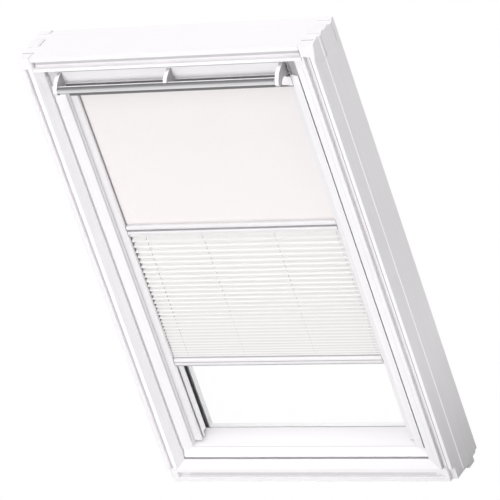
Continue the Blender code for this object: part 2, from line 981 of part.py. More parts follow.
def casing():
    """Casing of the roller, open below where the cloth leaves, with ends and clips."""
    start = casing_start
    end = casing_start + casing_depth
    wall = casing_wall
    mouth_start = slot_centre - casing_mouth / 2
    mouth_end = slot_centre + casing_mouth / 2
    section = [
        (mouth_start, casing_low), (mouth_start, casing_low + wall),
        (start + wall, casing_low + wall), (start + wall, casing_high - wall),
        (end - wall, casing_high - wall), (end - wall, casing_low + wall),
        (mouth_end, casing_low + wall), (mouth_end, casing_low),
        (end, casing_low), (end, casing_high), (start, casing_high), (start, casing_low),
    ]
    outer = stile_inner - contact_gap
    inner = outer - casing_end
    keep(across([section], inner - contact_gap), "casing", "white metal")
    bore = roller_radius - roller_wall
    for side in sides:
        plate = box(on_side(side, inner, outer), (start, end), (casing_low, casing_high))
        journal = rod(bore - journal_clearance, *on_side(side, inner - journal_length, outer - wall),
                      roller_depth, roller_height)
        keep(join(plate, journal), f"casing_end_{side}", "white plastic")
        middle = sides[side] * (inner - clip_inset)
        clip = box((middle - clip_length / 2, middle + clip_length / 2),
                   (slot_centre - clip_depth / 2, slot_centre + clip_depth / 2),
                   (casing_high + contact_gap, head_low - contact_gap))
        keep(clip, f"casing_clip_{side}", "zinc")
    roller = [
        circle(roller_depth, roller_height, roller_radius, roller_radius, 24),
        circle(roller_depth, roller_height, bore, bore, 24),
    ]
    keep(across(roller, inner - roller_end_gap), "roller_tube", "satin aluminium")


def rounded_bar(depth, height, low, inset=0):
    """Side view of a rail with rounded corners, drawn in by an inset."""
    radius = min(height, depth) / 4
    corners = (
        (depth / 2 - radius, height - radius, 0),
        (radius - depth / 2, height - radius, 90),
        (radius - depth / 2, radius, 180),
        (depth / 2 - radius, radius, 270),
    )
    line = []
    for d, z, turn in corners:
        for step in range(4):
            angle = math.radians(turn + 30 * step)
            d_point = slot_centre + d + (radius - inset) * math.cos(angle)
            line.append((d_point, low + z + (radius - inset) * math.sin(angle)))
    return line


def blind_rail(name, depth, height, low):
    """A hollow rail between the channels with a guide block in each slot."""
    reach = channel_inner - bar_end_gap
    outer = rounded_bar(depth, height, low)
    inner = rounded_bar(depth, height, low, rail_wall)
    keep(across([outer, inner], reach), name, "white metal")
    slot_end = channel_outer - channel_wall - guide_clearance
    half = guide_depth / 2
    for side in sides:
        guide = box(on_side(side, reach + contact_gap, slot_end), (slot_centre - half, slot_centre + half),
                    (low + contact_gap, low + height - contact_gap))
        keep(guide, f"{name}_guide_{side}", "white plastic")


def blackout():
    """Blackout cloth from the roller down to its own rail."""
    blind_rail("blackout_rail", blackout_rail_depth, blackout_rail_height, blackout_low)
    half = cloth_thickness / 2
    cloth = box((-cloth_half, cloth_half), (slot_centre - half, slot_centre + half),
                (blackout_high + contact_gap, roller_height))
    keep(cloth, "blackout_cloth", "blackout cloth")


def pleat_pitches(span):
    """Heights of the folds from the top, shrinking evenly towards the foot."""
    last = pleat_count - 1
    weights = [pleat_droop + (1 - pleat_droop) * n / last for n in range(pleat_count)]
    return [span * weight / sum(weights) for weight in weights]


def pleats():
    """Pleated cloth: each fold has the same length, so it stands shallower where it hangs open."""
    blind_rail("pleat_top_rail", pleat_rail_depth, pleat_rail_height, pleat_rail_low)
    blind_rail("pleat_bottom_rail", pleat_foot_depth, pleat_foot_height, pleat_foot_low)
    level = pleat_rail_low - contact_gap
    pitches = pleat_pitches(level - pleat_foot_high - contact_gap)
    fold = math.hypot(pleat_depth, pitches[-1] / 2)
    front = [(slot_centre - pleat_thickness, level)]
    back = [(slot_centre + pleat_thickness, level)]
    for pitch in pitches:
        depth = math.sqrt(fold ** 2 - (pitch / 2) ** 2) / 2
        mitre = 2 * pleat_thickness * fold / pitch
        front.append((slot_centre - depth, level - pitch / 4))
        back.append((slot_centre - depth + mitre, level - pitch / 4))
        front.append((slot_centre + depth - mitre, level - pitch * 3 / 4))
        back.append((slot_centre + depth, level - pitch * 3 / 4))
        level -= pitch
    front.append((slot_centre - pleat_thickness, level))
    back.append((slot_centre + pleat_thickness, level))
    keep(across([front + back[::-1]], channel_inner - pleat_side_gap), "pleated_cloth", "pleated cloth")


for name in sides:
    frame_side(name)
    frame_pivot(name)
    stile(name)
    sash_pin(name)
    cheek(name)
    air_filter(name)
    channel(name)
frame_head()
frame_foot()
strike()
frame_covers()
sash_foot()
sash_head()
glazing()
weather_seal()
sash_covers()
lock()
flap_panel()
flap_brackets()
control_bar()
casing()
blackout()
pleats()

sash_pieces = [
    "sash_top", "sash_bottom", "glazing_gasket", "glass_inner", "glass_outer", "glass_spacer",
    "weather_seal", "sash_cover_top", "sash_cover_bottom", "lock_case", "casing", "blackout_cloth",
]
sash_pieces += both("sash", "sash_pin", "sash_cover", "cheek", "air_filter", "channel",
                    "casing_end", "casing_clip")
sash_axis = on_axis("sash_axis", axis_depth, axis_height, sash_pieces)
on_axis("flap_axis", flap_axis_depth, flap_axis_height,
        ["flap_panel", "bracket_middle", "control_bar"] + both("bracket"), sash_axis)
on_axis("latch_line", bolt_place, head_low, ["latch_bolt"], sash_axis)
on_axis("roller_axis", roller_depth, roller_height, ["roller_tube"], sash_axis)
on_axis("blackout_line", slot_centre, blackout_low,
        ["blackout_rail"] + both("blackout_rail_guide"), sash_axis)
pleat_line = on_axis("pleat_head_line", slot_centre, pleat_rail_low,
                     ["pleat_top_rail", "pleated_cloth"] + both("pleat_top_rail_guide"), sash_axis)
on_axis("pleat_foot_line", slot_centre, pleat_foot_low,
        ["pleat_bottom_rail"] + both("pleat_bottom_rail_guide"), pleat_line)
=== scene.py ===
import math

import bmesh
import bpy
from mathutils import Matrix, Vector


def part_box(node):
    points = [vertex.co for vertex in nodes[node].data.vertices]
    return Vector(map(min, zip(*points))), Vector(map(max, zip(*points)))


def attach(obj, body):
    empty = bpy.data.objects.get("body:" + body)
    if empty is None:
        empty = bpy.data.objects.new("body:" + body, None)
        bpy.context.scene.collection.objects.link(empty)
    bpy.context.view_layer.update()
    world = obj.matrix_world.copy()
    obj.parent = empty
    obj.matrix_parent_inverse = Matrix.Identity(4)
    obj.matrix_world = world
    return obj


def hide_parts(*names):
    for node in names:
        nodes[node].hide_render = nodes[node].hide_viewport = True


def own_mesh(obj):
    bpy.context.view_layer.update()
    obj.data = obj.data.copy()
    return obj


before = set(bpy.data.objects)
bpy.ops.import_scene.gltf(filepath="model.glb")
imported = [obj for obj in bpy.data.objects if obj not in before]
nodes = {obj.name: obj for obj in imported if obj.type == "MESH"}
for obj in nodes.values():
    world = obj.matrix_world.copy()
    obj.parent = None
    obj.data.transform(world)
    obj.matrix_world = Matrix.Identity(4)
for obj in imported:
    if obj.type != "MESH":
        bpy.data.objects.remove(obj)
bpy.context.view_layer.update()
print("window loaded:", len(nodes), "pieces")


def addObject(name, data):
    item = bpy.data.objects.new(name, data)
    bpy.context.scene.collection.objects.link(item)
    return item


# Camera first: a long lens from the room, turned a little on its own axis
cameraView = {
    "place": (6.58803, -9.29909, 6.43424),
    "right": (0.8574041, 0.4225680, -0.2937592),
    "up": (0.0210754, 0.5414923, 0.8404415),
    "back": (0.5142120, -0.7267891, 0.4553719),
    "lens": 398.5,
    "sensor": 36.0,
    "clip": (0.1, 100),
}


def aimCamera(view):
    data = bpy.data.cameras.new("photoCamera")
    data.lens = view["lens"]
    data.sensor_width = view["sensor"]
    data.clip_start, data.clip_end = view["clip"]
    camera = addObject("photoCamera", data)
    axes = Matrix((view["right"], view["up"], view["back"])).transposed()
    camera.matrix_world = Matrix.Translation(view["place"]) @ axes.to_4x4()
    bpy.context.scene.camera = camera


aimCamera(cameraView)
print("camera aimed")


# Node helpers: a feed is a number, a tuple or another node's socket
def feed(tree, node, feeds):
    for label, value in feeds.items():
        if isinstance(value, (int, float, tuple)):
            node.inputs[label].default_value = value
        else:
            tree.links.new(value, node.inputs[label])


def addNode(tree, kind, feeds=None, **values):
    node = tree.nodes.new(kind)
    for key, value in values.items():
        setattr(node, key, value)
    feed(tree, node, feeds or {})
    return node


def calculator(tree):
    def calc(operation, *terms):
        node = addNode(tree, "ShaderNodeMath", dict(enumerate(terms)), operation=operation)
        return node.outputs[0]
    return calc


def splitVector(tree, vector):
    return addNode(tree, "ShaderNodeSeparateXYZ", {0: vector}).outputs


# Light: a front key, one from above, a weak fill from the right, a pale room and daylight outside
roomLight = {
    "room": 0.45,
    "shine": {"From Min": -0.2, "From Max": 0.9, "To Min": 0.85, "To Max": 0.12},
    "suns": {  # where it comes from, power and softness in degrees
        "keyLight": ((-0.17, -1.0, 0.14), 1.76, 30.0),
        "aboveLight": ((-0.10, -0.12, 1.0), 2.02, 40.0),
        "fillLight": ((1.0, -0.2, 0.15), 0.76, 30.0),
    },
    "outside": {
        "power": 1.6,
        "size": (0.35, 0.30),
        "place": (0.10, 0.40, 0.24),
        "aim": (-0.29, 0.0, 0.24),
    },
}


def addSun(name, source, power, soft):
    data = bpy.data.lights.new(name, "SUN")
    data.energy = power
    data.angle = math.radians(soft)
    lamp = addObject(name, data)
    lamp.rotation_euler = (-Vector(source)).to_track_quat("-Z", "Y").to_euler()


def addPanel(name, light):
    data = bpy.data.lights.new(name, "AREA")
    data.energy = light["power"]
    data.shape = "RECTANGLE"
    data.size, data.size_y = light["size"]
    panel = addObject(name, data)
    panel.location = light["place"]
    aim = Vector(light["aim"]) - Vector(light["place"])
    panel.rotation_euler = aim.to_track_quat("-Z", "Y").to_euler()
    panel.visible_camera = False
    panel.visible_transmission = False
    panel.visible_glossy = False


def lightRoom(light):
    world = bpy.data.worlds.new("whiteRoom")
    bpy.context.scene.world = world
    world.use_nodes = True
    tree = world.node_tree
    direction = addNode(tree, "ShaderNodeTexCoord").outputs["Generated"]
    height = splitVector(tree, direction)["Z"]
    ramp = addNode(tree, "ShaderNodeMapRange", {"Value": height, **light["shine"]})
    ray = addNode(tree, "ShaderNodeLightPath")
    level = addNode(tree, "ShaderNodeMix", {  # reflections see a room that darkens upwards
        0: ray.outputs["Is Glossy Ray"], 2: light["room"], 3: ramp.outputs["Result"]})
    sky = tree.nodes["Background"]
    feed(tree, sky, {"Color": (1.0, 1.0, 1.0, 1), "Strength": level.outputs[0]})
    for name, (source, power, soft) in light["suns"].items():
        addSun(name, source, power, soft)
    addPanel("outsideLight", light["outside"])
    bpy.context.scene.view_settings.view_transform = "Standard"


lightRoom(roomLight)
print("room lit")

# Shared effects, each one a node group with named sockets
surfaceOutputs = ("Color", "Height", "Roughness")
socketKinds = {1: "NodeSocketFloat", 3: "NodeSocketVector", 4: "NodeSocketColor"}


def newGroup(name, inputs, outputs):
    group = bpy.data.node_groups.new(name, "ShaderNodeTree")
    for label, value in inputs.items():
        kind = socketKinds[len(value) if isinstance(value, tuple) else 1]
        socket = group.interface.new_socket(name=label, in_out="INPUT", socket_type=kind)
        socket.default_value = value
    for label in outputs:
        kind = socketKinds[4 if label == "Color" else 1]
        group.interface.new_socket(name=label, in_out="OUTPUT", socket_type=kind)
    return group, group.nodes.new("NodeGroupInput").outputs


def closeGroup(group, results):
    feed(group, group.nodes.new("NodeGroupOutput"), results)
    return group


def objectPlace(group):
    return addNode(group, "ShaderNodeTexCoord").outputs["Object"]


def facingParts(group):
    return splitVector(group, addNode(group, "ShaderNodeNewGeometry").outputs["Normal"])


def noiseNode(group, vector, settings):
    return addNode(group, "ShaderNodeTexNoise", {"Vector": vector, **settings}).outputs[0]


def stretched(group, place, stretch):
    node = addNode(group, "ShaderNodeVectorMath", {0: place, 1: stretch}, operation="MULTIPLY")
    return node.outputs[0]


def shaded(group, colour, level):
    node = addNode(group, "ShaderNodeVectorMath", {0: colour, "Scale": level}, operation="SCALE")
    return node.outputs[0]


# Painted shade: the paint darkens towards the lower right corner, most on the faces that look right
paintedCornerShade = {
    "below": 0.36,
    "reach": 0.37,
    "curve": 1.4,
    "least": 0.28,
}


def makePaintedGrain(corner):
    group, given = newGroup("paintedGrain", {
        "Paint": (0.9, 0.9, 0.9, 1),
        "Stretch": (40, 40, 2),
        "Blotch": 0.03,
        "Gloss": 0.4,
        "From": 9.0,
        "To": 9.0,
        "Shade": 0.0,
        # Foot: strength of the painted shade at the lower right corner
        "Foot": 0.22,
    }, surfaceOutputs)
    calc, place = calculator(group), objectPlace(group)
    long = stretched(group, place, given["Stretch"])
    grain = noiseNode(group, long, {"Scale": 3.0, "Detail": 6.0, "Distortion": 0.6})
    patch = noiseNode(group, place, {"Scale": 4.0, "Detail": 2.0})
    spray = noiseNode(group, place, {"Scale": 900.0})
    dark = calc("MULTIPLY", patch, given["Blotch"])
    fine = calc("MULTIPLY", grain, given["Blotch"])
    keep = calc("SUBTRACT", 1.0, calc("ADD", dark, fine))
    parts = splitVector(group, place)
    # Painted shade: a darker band over the splay, as on its shaded side
    after = calc("GREATER_THAN", parts["X"], given["From"])
    before = calc("LESS_THAN", parts["X"], given["To"])
    band = calc("MULTIPLY", calc("MULTIPLY", after, before), given["Shade"])
    keep = calc("SUBTRACT", keep, band)  # the splay on the shaded side
    # painted shade, darker low down and to the right, and on faces that look right
    low = addNode(group, "ShaderNodeMapRange", {
        "Value": parts["Z"], "From Min": corner["below"], "From Max": 0.0}).outputs[0]
    right = addNode(group, "ShaderNodeMapRange", {
        "Value": parts["X"], "From Max": corner["reach"]}).outputs[0]
    near = calc("MULTIPLY", calc("POWER", low, corner["curve"]), right)
    near = calc("MULTIPLY", near, calc("MAXIMUM", facingParts(group)["X"], corner["least"]))
    keep = calc("SUBTRACT", keep, calc("MULTIPLY", near, given["Foot"]))
    return closeGroup(group, {
        "Color": shaded(group, given["Paint"], keep),
        "Height": calc("ADD", grain, calc("MULTIPLY", spray, 0.15)),
        "Roughness": calc("ADD", calc("MULTIPLY", grain, 0.12), given["Gloss"]),
    })


def makeSprayedCoat():
    group, given = newGroup("sprayedCoat", {
        "Coat": (0.9, 0.9, 0.9, 1),
        "Pimple": 1400.0,
        "Gloss": 0.35,
    }, surfaceOutputs)
    calc, place = calculator(group), objectPlace(group)
    pimple = noiseNode(group, place, {"Scale": given["Pimple"], "Detail": 2.0})
    drift = noiseNode(group, place, {"Scale": 9.0})
    keep = calc("SUBTRACT", 1.0, calc("MULTIPLY", drift, 0.02))
    return closeGroup(group, {
        "Color": shaded(group, given["Coat"], keep),
        "Height": pimple,
        "Roughness": calc("ADD", calc("MULTIPLY", drift, 0.08), given["Gloss"]),
    })


def makeDrawnMetal():
    group, given = newGroup("drawnMetal", {
        "Metal": (0.7, 0.7, 0.7, 1),
        "Stretch": (4, 900, 900),
        "Polish": 0.3,
    }, surfaceOutputs)
    calc = calculator(group)
    long = stretched(group, objectPlace(group), given["Stretch"])
    lines = noiseNode(group, long, {"Scale": 1.0, "Detail": 3.0})
    tone = calc("ADD", calc("MULTIPLY", lines, 0.18), 0.88)
    return closeGroup(group, {
        "Color": shaded(group, given["Metal"], tone),
        "Height": lines,
        "Roughness": calc("ADD", calc("MULTIPLY", lines, 0.15), given["Polish"]),
    })


def makePlainWeave():
    group, given = newGroup("plainWeave", {
        "Yarn": (0.9, 0.9, 0.9, 1),
        "Threads": 1800.0,
        "Slub": 0.04,
    }, surfaceOutputs)
    calc, place = calculator(group), objectPlace(group)
    parts = splitVector(group, place)
    across = calc("MULTIPLY", parts["X"], given["Threads"])
    down = calc("MULTIPLY", parts["Z"], given["Threads"])
    warp, weft = [calc("ABSOLUTE", calc("SINE", way)) for way in (across, down)]
    checks = [calc("SINE", calc("MULTIPLY", way, 0.5)) for way in (across, down)]
    over = calc("GREATER_THAN", calc("MULTIPLY", *checks), 0.0)
    pick = addNode(group, "ShaderNodeMix", {0: over, 2: warp, 3: weft}).outputs[0]
    slub = noiseNode(group, place, {"Scale": 160.0, "Detail": 4.0})
    loss = calc("MULTIPLY", calc("SUBTRACT", 1.2, pick), given["Slub"])
    uneven = calc("MULTIPLY", slub, given["Slub"])
    keep = calc("SUBTRACT", 1.0, calc("ADD", loss, uneven))
    return closeGroup(group, {
        "Color": shaded(group, given["Yarn"], keep),
        "Height": pick,
        "Roughness": calc("ADD", calc("MULTIPLY", slub, 0.1), 0.78),
    })


# Painted reflection: tones that the bar mirrors, painted into its colour by how far its face looks
# up
paintedSheenTones = [
    (0.0, 0.10), (0.20, 0.12), (0.28, 0.90), (0.42, 0.74), (0.62, 0.48), (0.84, 0.2), (1.0, 0.12)]


def makePaintedSheen(tones):
    group, given = newGroup("paintedRoomSheen", {
        "Metal": (0.9, 0.9, 0.92, 1),
        "Polish": 0.4,
    }, surfaceOutputs)
    calc, facing = calculator(group), facingParts(group)
    turn = calc("ADD", calc("MULTIPLY", facing["Z"], 0.5), 0.5)
    ramp = addNode(group, "ShaderNodeValToRGB", {0: turn})
    stops = ramp.color_ramp.elements
    for n, (place, tone) in enumerate(tones):
        stop = stops[n] if n < 2 else stops.new(place)
        stop.position, stop.color = place, (tone, tone, tone, 1)
    # painted highlight along the upper rear edge
    rear = addNode(group, "ShaderNodeMapRange", {  # a bright line along the upper rear edge
        "Value": facing["Y"], "From Min": -0.12, "From Max": 0.10})
    long = stretched(group, objectPlace(group), (4, 900, 900))
    lines = noiseNode(group, long, {"Scale": 1.0})
    level = calc("MAXIMUM", ramp.outputs[0], rear.outputs[0])
    uneven = calc("ADD", calc("MULTIPLY", lines, 0.10), 0.92)
    return closeGroup(group, {
        "Color": shaded(group, given["Metal"], calc("MULTIPLY", level, uneven)),
        "Height": lines,
        "Roughness": calc("ADD", calc("MULTIPLY", lines, 0.1), given["Polish"]),
    })


# Painted light: faces that look up glow, as if lit from above
def makePaintedUpGlow():
    group, given = newGroup("paintedUpGlow", {"Glow": 0.3}, ["Color"])
    calc = calculator(group)
    level = calc("MULTIPLY", calc("MAXIMUM", facingParts(group)["Z"], 0.0), given["Glow"])
    return closeGroup(group, {"Color": level})


# Painted light: the pleated cloth glows as if daylight came through it, more towards its foot
def makePaintedDaylight():
    group, given = newGroup("paintedDaylightGlow", {
        "Yarn": (0.9, 0.9, 0.9, 1),
        "Top": 0.66,
        "Foot": 0.34,
        "Glow": 0.24,
        "Front": -0.0292,
        "Rear": -0.0240,
    }, ["Color"])
    parts = splitVector(group, objectPlace(group))
    fall = addNode(group, "ShaderNodeMapRange", {
        "Value": parts["Z"], "From Min": given["Top"], "From Max": given["Foot"],
        "To Max": given["Glow"]})
    # painted highlight, brightest along the front creases
    fold = addNode(group, "ShaderNodeMapRange", {  # brightest along the front creases
        "Value": parts["Y"], "From Min": given["Front"], "From Max": given["Rear"],
        "To Min": 1.0, "To Max": 0.12})
    level = calculator(group)("MULTIPLY", fall.outputs[0], fold.outputs[0])
    return closeGroup(group, {"Color": shaded(group, given["Yarn"], level)})


effects = {
    "paintedSheen": makePaintedSheen(paintedSheenTones),
    "grain": makePaintedGrain(paintedCornerShade),
    "coat": makeSprayedCoat(),
    "metal": makeDrawnMetal(),
    "weave": makePlainWeave(),
    "paintedUpGlow": makePaintedUpGlow(),
    "paintedDaylight": makePaintedDaylight(),
}
print("shared effects built:", len(effects))


def newMaterial(name):
    material = bpy.data.materials.new(name)
    material.use_nodes = True
    tree = material.node_tree
    return material, tree, tree.nodes["Principled BSDF"]


# Settings go into the shared effect, fixed values on the shader's own sockets
def dress(name, effect, settings, bump, fixed):
    material, tree, shader = newMaterial(name)
    group = addNode(tree, "ShaderNodeGroup", node_tree=effects[effect])
    feed(tree, group, settings)
    strength, distance = bump
    dent = addNode(tree, "ShaderNodeBump", {
        "Strength": strength, "Distance": distance, "Height": group.outputs["Height"]})
    feed(tree, shader, {
        "Base Color": group.outputs["Color"],
        "Roughness": group.outputs["Roughness"],
        "Normal": dent.outputs["Normal"],
        **fixed,
    })
    return material


paint = (0.89, 0.872, 0.89, 1)
coatWhite = (0.80, 0.785, 0.80, 1)
uprightPaint = (0.923, 0.904, 0.923, 1)
uprightGrain = {"Paint": uprightPaint, "Stretch": (60, 60, 2.2), "Blotch": 0.08, "Gloss": 0.36}
# Painted shade: a darker band over the left member's splay, where it lies in shade
splayShadeGrain = {**uprightGrain, "From": -0.3613, "To": -0.3338, "Shade": 0.115}
crossGrain = {"Paint": paint, "Stretch": (2.2, 60, 60), "Blotch": 0.035, "Gloss": 0.36}
looks = {
    "uprightPaint": ("grain", uprightGrain, (0.25, 0.0004), {"IOR": 1.46}),
    "splayShadePaint": ("grain", splayShadeGrain, (0.25, 0.0004), {"IOR": 1.46}),
    "crossPaint": ("grain", crossGrain, (0.25, 0.0004), {"IOR": 1.46}),
    "whiteCoat": ("coat", {"Coat": coatWhite, "Gloss": 0.3}, (0.12, 0.0001), {"IOR": 1.5}),
    "greyCoat": ("coat", {"Coat": (0.09, 0.092, 0.095, 1), "Gloss": 0.42},
                 (0.15, 0.0001), {"Metallic": 0.3}),
    "satinBar": ("paintedSheen", {"Metal": (0.98, 0.97, 0.99, 1), "Polish": 0.4},
                 (0.1, 0.00005), {"Metallic": 0.15}),
    "rollerMetal": ("metal", {"Metal": (0.70, 0.71, 0.73, 1), "Polish": 0.26},
                    (0.1, 0.00005), {"Metallic": 1.0}),
    "paleGrey": ("coat", {"Coat": (0.66, 0.65, 0.665, 1), "Gloss": 0.45}, (0.12, 0.0001), {}),
    # painted shade: the casing is near black, as it sits in shade under the bar
    "casingShadeGrey": ("coat", {"Coat": (0.15, 0.147, 0.15, 1), "Gloss": 0.5}, (0.12, 0.0001), {}),
    # painted shade: a dark grey for shade on bracket sides, at the groove's end and under the head's
    # lip
    "padGrey": ("coat", {"Coat": (0.34, 0.33, 0.34, 1), "Pimple": 420.0, "Gloss": 0.7},
                (0.6, 0.0004), {}),
    # a grey for dark joint lines, also used for painted shade
    "seamAndShadeGrey": ("coat", {"Coat": (0.42, 0.41, 0.42, 1), "Pimple": 500.0, "Gloss": 0.8},
                 (0.3, 0.0002), {}),
    "headShadeGrey": ("coat", {"Coat": (0.55, 0.54, 0.55, 1), "Gloss": 0.6}, (0.12, 0.0001), {}),
    "creaseShadeWhite": ("coat", {"Coat": (0.74, 0.725, 0.74, 1), "Gloss": 0.5}, (0.1, 0.0001), {}),
    "zincPlate": ("metal", {"Metal": (0.58, 0.59, 0.60, 1), "Stretch": (300, 300, 300),
                            "Polish": 0.34}, (0.1, 0.00005), {"Metallic": 1.0}),
    "spacerMetal": ("metal", {"Metal": (0.80, 0.80, 0.81, 1), "Stretch": (300, 900, 6),
                              "Polish": 0.5}, (0.1, 0.00005), {"Metallic": 0.25}),
    "blackRubber": ("coat", {"Coat": (0.012, 0.012, 0.013, 1), "Pimple": 700.0, "Gloss": 0.6},
                    (0.3, 0.0002), {}),
    "whitePlastic": ("coat", {"Coat": (0.84, 0.84, 0.83, 1), "Pimple": 1000.0, "Gloss": 0.38},
                     (0.15, 0.0001), {}),
    "greyFoam": ("coat", {"Coat": (0.3, 0.31, 0.32, 1), "Pimple": 500.0, "Gloss": 0.85},
                 (0.8, 0.0008), {}),
    "blackoutWeave": ("weave", {"Yarn": (0.86, 0.82, 0.822, 1), "Threads": 2600.0,
                                "Slub": 0.035}, (0.2, 0.0001), {"Sheen Weight": 0.2}),
    "cordYarn": ("weave", {"Yarn": (0.74, 0.73, 0.72, 1), "Threads": 5000.0, "Slub": 0.2},
                 (0.4, 0.0002), {}),
    "pleatWeave": ("weave", {"Yarn": (0.9, 0.887, 0.885, 1), "Threads": 2200.0,
                             "Slub": 0.05}, (0.25, 0.0001), {"Sheen Weight": 0.2}),
    # Painted light: white paints that glow a little, standing in for bounce light
    "bounceGlowWhite": ("grain", {"Paint": paint, "Stretch": (60, 60, 2.2)}, (0.2, 0.0003),
                    {"Emission Color": paint, "Emission Strength": 0.2}),
    "edgeGlowWhite": ("grain", {"Paint": paint}, (0.2, 0.0003),
                  {"Emission Color": paint, "Emission Strength": 0.42}),
    "gapGlowWhite": ("grain", {"Paint": paint, "Stretch": (2.2, 60, 60)}, (0.2, 0.0003),
                 {"Emission Color": paint, "Emission Strength": 0.1}),
}
finishes = {name: dress(name, *look) for name, look in looks.items()}


def showMixed(tree, factor, first, second):
    mix = addNode(tree, "ShaderNodeMixShader", {0: factor, 1: first, 2: second})
    feed(tree, tree.nodes["Material Output"], {"Surface": mix.outputs[0]})


def makeGlass():
    material, tree, shader = newMaterial("clearGlass")
    feed(tree, shader, {
        "Base Color": (1.0, 1.0, 1.0, 1),
        "Roughness": 0.0,
        "IOR": 1.1,
        "Transmission Weight": 1.0,
    })
    through = addNode(tree, "ShaderNodeBsdfTransparent")
    rays = addNode(tree, "ShaderNodeLightPath").outputs
    unseen = calculator(tree)("MAXIMUM", rays["Is Shadow Ray"], rays["Is Diffuse Ray"])
    showMixed(tree, unseen, shader.outputs[0], through.outputs[0])
    return material


def glowThroughGlass(material):
    tree = material.node_tree
    # Painted light: seen through the glass, the part glows white
    glow = addNode(tree, "ShaderNodeEmission")  # daylight washes out what stands behind the glass
    rays = addNode(tree, "ShaderNodeLightPath").outputs
    shader = tree.nodes["Principled BSDF"]
    showMixed(tree, rays["Is Transmission Ray"], shader.outputs[0], glow.outputs[0])


def glowBy(material, effect):
    tree = material.node_tree
    group = addNode(tree, "ShaderNodeGroup", node_tree=effects[effect])
    feed(tree, tree.nodes["Principled BSDF"], {
        "Emission Color": group.outputs["Color"], "Emission Strength": 1.0})


finishes["clearGlass"] = makeGlass()
glowThroughGlass(finishes["greyCoat"])
glowBy(finishes["spacerMetal"], "paintedUpGlow")
glowBy(finishes["pleatWeave"], "paintedDaylight")

wornBy = {
    "splayShadePaint": ["frame_left"],
    "uprightPaint": ["frame_right", "sash_left", "sash_right"],
    "crossPaint": ["frame_top", "frame_bottom", "sash_top", "sash_bottom"],
    "whiteCoat": ["flap_panel", "bracket_left", "bracket_middle", "bracket_right", "channel_left",
                  "channel_right", "blackout_rail", "pleat_top_rail", "pleat_bottom_rail"],
    "greyCoat": ["frame_cover_left", "frame_cover_right", "frame_cover_top", "frame_cover_bottom",
                 "sash_cover_left", "sash_cover_right", "sash_cover_top", "sash_cover_bottom"],
    "paleGrey": ["cheek_left"],
    # painted shade: the right cheek is darker than the left, as it lies in shade
    "seamAndShadeGrey": ["cheek_right"],
    "satinBar": ["control_bar"],
    "rollerMetal": ["roller_tube"],
    "casingShadeGrey": ["casing"],
    "zincPlate": ["pivot_plate_left", "pivot_plate_right", "strike_plate", "sash_pin_left",
                  "sash_pin_right", "lock_case", "latch_bolt", "casing_clip_left",
                  "casing_clip_right"],
    "spacerMetal": ["glass_spacer"],
    "blackRubber": ["glazing_gasket", "weather_seal"],
    "whitePlastic": ["casing_end_left", "casing_end_right", "blackout_rail_guide_left",
                     "blackout_rail_guide_right", "pleat_top_rail_guide_left",
                     "pleat_top_rail_guide_right", "pleat_bottom_rail_guide_left",
                     "pleat_bottom_rail_guide_right"],
    "greyFoam": ["air_filter_left", "air_filter_right"],
    "clearGlass": ["glass_inner", "glass_outer"],
}
for finish, wearers in wornBy.items():
    for name in wearers:
        nodes[name].data.materials.clear()
        nodes[name].data.materials.append(finishes[finish])
print("finishes made:", len(finishes))


# Mesh helpers
def dressMesh(name, mesh, finish):
    mesh.materials.append(finishes[finish])
    return addObject(name, mesh)


def addMesh(name, points, faces, finish):
    mesh = bpy.data.meshes.new(name)
    mesh.from_pydata(points, [], faces)
    mesh.validate()
    return dressMesh(name, mesh, finish)


def closeSheet(name, sheet):
    mesh = bpy.data.meshes.new(name)
    sheet.to_mesh(mesh)
    sheet.free()
    return mesh


def ringFaces(rings, count, first=0):
    faces = []
    for k in range(rings - 1):
        start = first + k * count
        for n in range(count):
            m = (n + 1) % count
            faces.append((start + n, start + m, start + count + m, start + count + n))
    return faces


# Blackout cloth: one taut length between the roller and its rail
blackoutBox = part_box("blackout_cloth")
blackoutCloth = {
    "across": 60,
    "down": 48,
    "thick": 0.00045,
    "ripple": 0.00025,
    "waves": (9.5, 1.7),
    "travel": 0.35,
}


def hangBlackout(cloth):
    low, high = blackoutBox
    middle = (low.y + high.y) / 2
    waveAcross, waveDown = cloth["waves"]
    rows = []
    for side in (-1, 1):
        for j in range(cloth["down"] + 1):
            down = j / cloth["down"]
            for i in range(cloth["across"] + 1):
                over = i / cloth["across"]
                x = low.x + (high.x - low.x) * over
                z = high.z + (low.z - high.z) * down
                bend = math.sin(waveAcross * over + waveDown * down)
                wave = bend * math.sin(math.pi * down) * cloth["ripple"]
                rows.append((x, middle + wave + side * cloth["thick"] / 2, z))
    wide = cloth["across"] + 1
    layer = wide * (cloth["down"] + 1)
    faces = []
    for j in range(cloth["down"]):
        for i in range(cloth["across"]):
            a = j * wide + i
            faces.append((a, a + wide, a + wide + 1, a + 1))
            b = a + layer
            faces.append((b, b + 1, b + wide + 1, b + wide))
    rim = list(range(wide)) + [j * wide + wide - 1 for j in range(1, cloth["down"] + 1)]
    rim += [cloth["down"] * wide + i for i in range(wide - 2, -1, -1)]
    rim += [j * wide for j in range(cloth["down"] - 1, 0, -1)]
    for k, a in enumerate(rim):
        b = rim[(k + 1) % len(rim)]
        faces.append((a, b, b + layer, a + layer))
    item = addMesh("blackoutSheet", rows, faces, "blackoutWeave")
    item.data.shade_smooth()
    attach(item, "sash")
    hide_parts("blackout_cloth")
    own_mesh(item)


hangBlackout(blackoutCloth)
print("blackout cloth hung")

